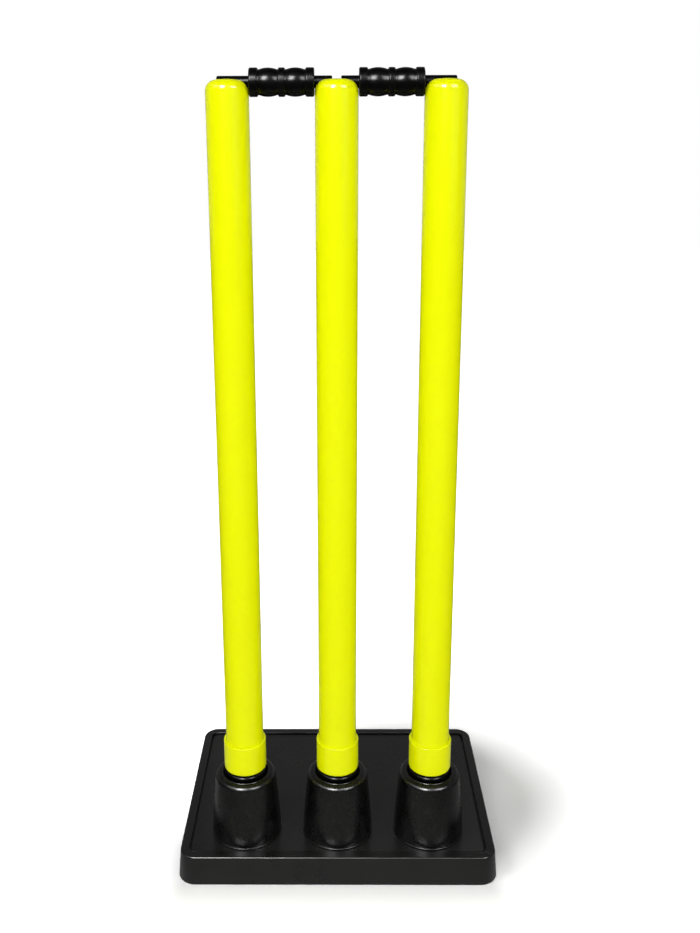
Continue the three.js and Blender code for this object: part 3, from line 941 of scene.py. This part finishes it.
def make_plate(material):
    """The flat closing plate, with a chamfered well round each screw's head."""
    inset = WALL_THICKNESS + PLATE_EDGE_GAP
    edge = [
        *round_corner((inset, 0), PLATE_EDGE_ROUND, 270, 180),
        (inset + PLATE_THICKNESS * WALL_DRAFT, PLATE_THICKNESS),
    ]
    flare = HEAD_HOLE_RADIUS + HEAD_HOLE_CHAMFER + CUT_OVERRUN
    hole_outline = [
        (0, -CUT_OVERRUN),
        (flare, -CUT_OVERRUN),
        (HEAD_HOLE_RADIUS, HEAD_HOLE_CHAMFER),
        (HEAD_HOLE_RADIUS, SCREW_SEAT),
        (SHANK_HOLE_RADIUS, SCREW_SEAT),
        (SHANK_HOLE_RADIUS, WELL_HEIGHT + CUT_OVERRUN),
        (0, WELL_HEIGHT + CUT_OVERRUN),
    ]
    plate = skin("moulded_base_plate", [base_ring(step, z) for step, z in edge])
    wells, holes = [], []
    for node in SCREWS:
        well = cylinder("well", WELL_RADIUS, PLATE_THICKNESS / 2, WELL_HEIGHT, SCREW_STEPS)
        wells.append(set_on_axis(well, node))
        holes.append(set_on_axis(lathe("hole", hole_outline, SCREW_STEPS), node))
    cut(plate, wells, "UNION")
    cut(plate, holes)
    finish_shading(plate.data)
    dress(plate, material, "base", "base_plate")


def recess_blade(mouth_z, degrees):
    """One of the two tapered blades that cut a screw's cross recess."""
    corners = []
    for (x, y), z in ((RECESS_MOUTH, mouth_z), (RECESS_FLOOR, mouth_z + RECESS_DEPTH)):
        corners += [(-x, -y, z), (x, -y, z), (x, y, z), (-x, y, z)]
    faces = [(3, 2, 1, 0), (4, 5, 6, 7)]
    faces += [(i, (i + 1) % 4, 4 + (i + 1) % 4, 4 + i) for i in range(4)]
    blade = add_object("blade", corners, faces)
    return place(blade, Matrix.Rotation(math.radians(degrees), 4, "Z"))


def make_screw(node, number, material):
    """A pan-head screw with a cross recess, driven up from below and turned by its number."""
    low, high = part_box(node)
    screw = lathe(f"cross_{node}", [
        (0, low.z),
        *round_corner((SCREW_HEAD_RADIUS, low.z), SCREW_HEAD_ROUND, 270, 360),
        (SCREW_HEAD_RADIUS, SCREW_SEAT),
        (SCREW_SHANK_RADIUS, SCREW_SEAT),
        (SCREW_SHANK_RADIUS, high.z - SCREW_TIP_LENGTH),
        (0, high.z),
    ], SCREW_STEPS)
    cut(screw, [recess_blade(low.z - RECESS_OVERRUN, degrees) for degrees in (0, 90)])
    finish_shading(screw.data)
    place(screw, Matrix.Rotation(math.radians(SCREW_TURN_DEGREES * number), 4, "Z"))
    set_on_axis(screw, node)
    dress(screw, material, "base", node)


# Floor: a pale cloth that reads white away from the object, and dark where it is mirrored far off

FLOOR_SIZE = 12.0
FLOOR_COLOUR = 0.8
FLOOR_COLOUR_SEEN = 1.0
FLOOR_COLOUR_MIRRORED = 0.47
FLOOR_COLOUR_FAR = 0.03
MIRRORED_EDGE = (0.25, 0.7)
MIRRORED_NARROWING = (1.7, 1.0, 1.0)
SHADOW_CENTRE = (0.095, 0.018, 0.0)
SHADOW_REACH = (0.245, 0.225, 1.0)
SHADOW_EDGE = (0.48, 1.0)
CONTACT_CENTRE = (0.0, -0.094, 0.0)
CONTACT_HALF = (0.155, 0.022, 0.0)
CONTACT_REACH = (0.014, 0.025, 1.0)
CONTACT_SPAN = 4.0
CONTACT_GLOW = (0.05, 0.95)


def shadow_glow(n):
    """The floor's glow round the cast shadow: none inside it, and full outside."""
    offset = n.vector("SUBTRACT", n.coordinates(), SHADOW_CENTRE)
    return n.remap(n.length(n.vector("DIVIDE", offset, SHADOW_REACH)), *SHADOW_EDGE)


def contact_glow(n):
    """The floor's glow in front of the base, which leaves a soft shadow along its edge."""
    offset = n.vector("ABSOLUTE", n.vector("SUBTRACT", n.coordinates(), CONTACT_CENTRE))
    outside = n.vector("MAXIMUM", n.vector("SUBTRACT", offset, CONTACT_HALF), (0, 0, 0))
    beside = n.length(n.vector("DIVIDE", outside, CONTACT_REACH))
    return n.remap(beside, 0.0, CONTACT_SPAN, *CONTACT_GLOW)


def make_floor():
    """Pale floor that keeps the object's shadow and glows white away from it."""
    half = FLOOR_SIZE / 2
    corners = [(-half, -half, 0), (half, -half, 0), (half, half, 0), (-half, half, 0)]
    floor = add_object("floor", corners, [(0, 1, 2, 3)])
    material, n = new_material("floor_white")
    paths = n.add("ShaderNodeLightPath").outputs
    shown = n.shown(paths)
    mirrored = n.math("MAXIMUM", shown, paths["Is Glossy Ray"])
    away = n.length(n.coordinates(MIRRORED_NARROWING))
    pale = n.remap(away, *MIRRORED_EDGE, FLOOR_COLOUR_MIRRORED, FLOOR_COLOUR_FAR)
    seen = n.math("MAXIMUM", pale, n.math("MULTIPLY", shown, FLOOR_COLOUR_SEEN))
    lighting = n.math("MULTIPLY", n.math("SUBTRACT", 1.0, mirrored), FLOOR_COLOUR)
    colour = n.math("ADD", lighting, n.math("MULTIPLY", mirrored, seen))
    glow = n.math("MULTIPLY", shown, n.math("MINIMUM", shadow_glow(n), contact_glow(n)))
    cloth = n.add("ShaderNodeBsdfDiffuse", {"Color": colour})
    shine = n.add("ShaderNodeEmission", {"Color": grey(1), "Strength": glow})
    both = n.add("ShaderNodeAddShader", {0: cloth.outputs[0], 1: shine.outputs[0]})
    n.add("ShaderNodeOutputMaterial", {"Surface": both.outputs[0]})
    floor.data.materials.append(material)


# World: BACKDROP_TOP and BACKDROP_SIDE are parts of a unit direction, along Z and along Y

WORLD_STRENGTH = 0.22
BACKDROP_LEVEL = 0.36
BACKDROP_TOP = (0.25, 0.95)
BACKDROP_SIDE = (-0.2, 0.3)
DARK_STUDIO = 0.006


def make_world():
    """White where it is seen, and a soft even fill on the object.

    Reflections show a dim backdrop low behind the object, and a dark studio elsewhere.
    """
    world = bpy.data.worlds.new("studio")
    bpy.context.scene.world = world
    n = Nodes(world)
    paths = n.add("ShaderNodeLightPath").outputs
    direction = n.add("ShaderNodeTexCoord").outputs["Generated"]
    parts = n.add("ShaderNodeSeparateXYZ", {"Vector": direction}).outputs
    low = n.remap(parts["Z"], *BACKDROP_TOP, 1.0, 0.0)
    backdrop = n.math("MULTIPLY", low, n.remap(parts["Y"], *BACKDROP_SIDE))
    strengths = {
        "fill": WORLD_STRENGTH,
        "mirrored": n.math("ADD", n.math("MULTIPLY", backdrop, BACKDROP_LEVEL), DARK_STUDIO),
        "seen": 1.0,
    }
    light = {}
    for name, strength in strengths.items():
        inputs = {"Color": grey(1), "Strength": strength}
        light[name] = n.add("ShaderNodeBackground", inputs).outputs[0]
    choices = {0: paths["Is Glossy Ray"], 1: light["fill"], 2: light["mirrored"]}
    unseen = n.add("ShaderNodeMixShader", choices).outputs[0]
    shader = n.add("ShaderNodeMixShader", {0: n.shown(paths), 1: unseen, 2: light["seen"]})
    n.add("ShaderNodeOutputWorld", {"Surface": shader.outputs[0]})


# Lamps: those of the first kind light the object, and those of the second show in its gloss.
# Each has a name, an azimuth from the front towards +X and an elevation in degrees, a distance,
# a size and a radiance.

LAMP_AIM = (0, -0.06, 0.4)
SOFT_LAMPS = (
    ("side_lamp", -59, 42, 2.4, (0.8, 0.8), 9.0),
    ("key_lamp", -6, 28, 2.6, (1.8, 1.5), 3.6),
    ("fill_lamp", 46, 18, 2.6, (1.8, 1.5), 2.1),
    ("back_lamp", 165, 45, 2.4, (1.2, 0.8), 1.5),
)
GLOSS_LAMPS = (
    ("key_gloss", -21, 37, 3.0, (0.95, 1.3), 66),
    ("fill_gloss", 39, 35, 3.0, (1.2, 1.2), 26),
    ("side_gloss", -62, 38, 3.0, (1.4, 1.2), 4.6),
)


def make_lamp(name, azimuth, elevation, distance, size, radiance):
    data = bpy.data.lights.new(name, "AREA")
    data.shape = "RECTANGLE"
    data.size, data.size_y = size
    data.energy = radiance * math.pi * size[0] * size[1]
    lamp = bpy.data.objects.new(name, data)
    flat = math.cos(math.radians(elevation))
    away = Vector((
        flat * math.sin(math.radians(azimuth)),
        -flat * math.cos(math.radians(azimuth)),
        math.sin(math.radians(elevation)),
    ))
    lamp.location = Vector(LAMP_AIM) + away * distance
    lamp.rotation_mode = "QUATERNION"
    lamp.rotation_quaternion = (-away).to_track_quat("-Z", "Y")
    bpy.context.scene.collection.objects.link(lamp)
    return lamp


def make_lights():
    for settings in SOFT_LAMPS:
        make_lamp(*settings).visible_glossy = False
    for settings in GLOSS_LAMPS:
        make_lamp(*settings).visible_diffuse = False


# Assembly


def make_pieces():
    yellow = make_yellow_plastic()
    black = make_black_plastic()
    rubber = make_black_rubber()
    base = make_base_plastic()
    iron = make_cast_iron()
    steel = make_screw_steel()
    for side in SIDES:
        make_tube(side, yellow)
        make_collar(side, yellow)
        make_foot(side, black)
        make_socket(side, rubber)
    make_bail("left", black)
    make_bail("right", black)
    make_cover(base)
    make_plate(base)
    for number, node in enumerate(SCREWS):
        make_screw(node, number, steel)
    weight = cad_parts["base_weight"]
    weight.data.materials.clear()
    weight.data.materials.append(iron)


scene = bpy.context.scene
scene.view_settings.view_transform = "Standard"
make_camera()
make_world()
make_floor()
make_lights()
make_pieces()
